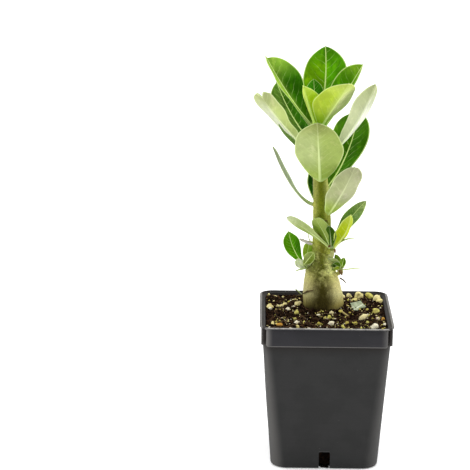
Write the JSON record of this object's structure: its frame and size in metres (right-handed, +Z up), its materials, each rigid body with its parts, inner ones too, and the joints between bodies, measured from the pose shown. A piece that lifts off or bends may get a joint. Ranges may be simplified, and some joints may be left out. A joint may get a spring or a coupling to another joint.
{
  "type": "potted desert rose",
  "caption": "A young desert rose with a swollen base, a slender stem and glossy paddle-shaped leaves, growing in a square plastic nursery pot of gritty soil.",
  "frame": {"origin": "centre of the pot's underside, on the surface that it stands on", "axes": "+Z up along the plant's height; the pot's four sides face +X, -X, +Y and -Y; the picture looks along +Y, with +X to its right, and the stem leans a little towards -X"},
  "size_m": [0.106, 0.1122, 0.3102],
  "materials": {
    "pot_plastic": "satin moulded charcoal plastic",
    "potting_soil": "rough dark peat with bark bits and pale granules",
    "bark": "smooth greenish tan bark",
    "leaf": "glossy above, matte and paler below",
    "young_leaf": "soft yellow-green",
    "dried_plant": "dry and matte"
  },
  "bodies": {
    "root": {"pot": "pot_plastic", "soil": "potting_soil", "caudex_stem": "bark", "leaf_top_back": "leaf", "leaf_top_right": "leaf", "leaf_top_left": "leaf", "leaf_mid_left": "leaf", "leaf_fold_left": "leaf", "leaf_front": "leaf", "leaf_young_right": "young_leaf", "leaf_young_left": "young_leaf", "leaf_inner": "leaf", "leaf_fold_right": "leaf", "leaf_right": "leaf", "leaf_low_right": "leaf", "leaf_low_left": "leaf", "leaf_low_back": "leaf", "leaf_hidden_back": "leaf", "shoot_upper_right": "leaf", "shoot_left": "leaf", "shoot_right": "leaf", "fallen_leaf_scrap": "dried_plant", "dry_stick": "dried_plant", "dry_twig": "dried_plant"}
  },
  "joints": []
}
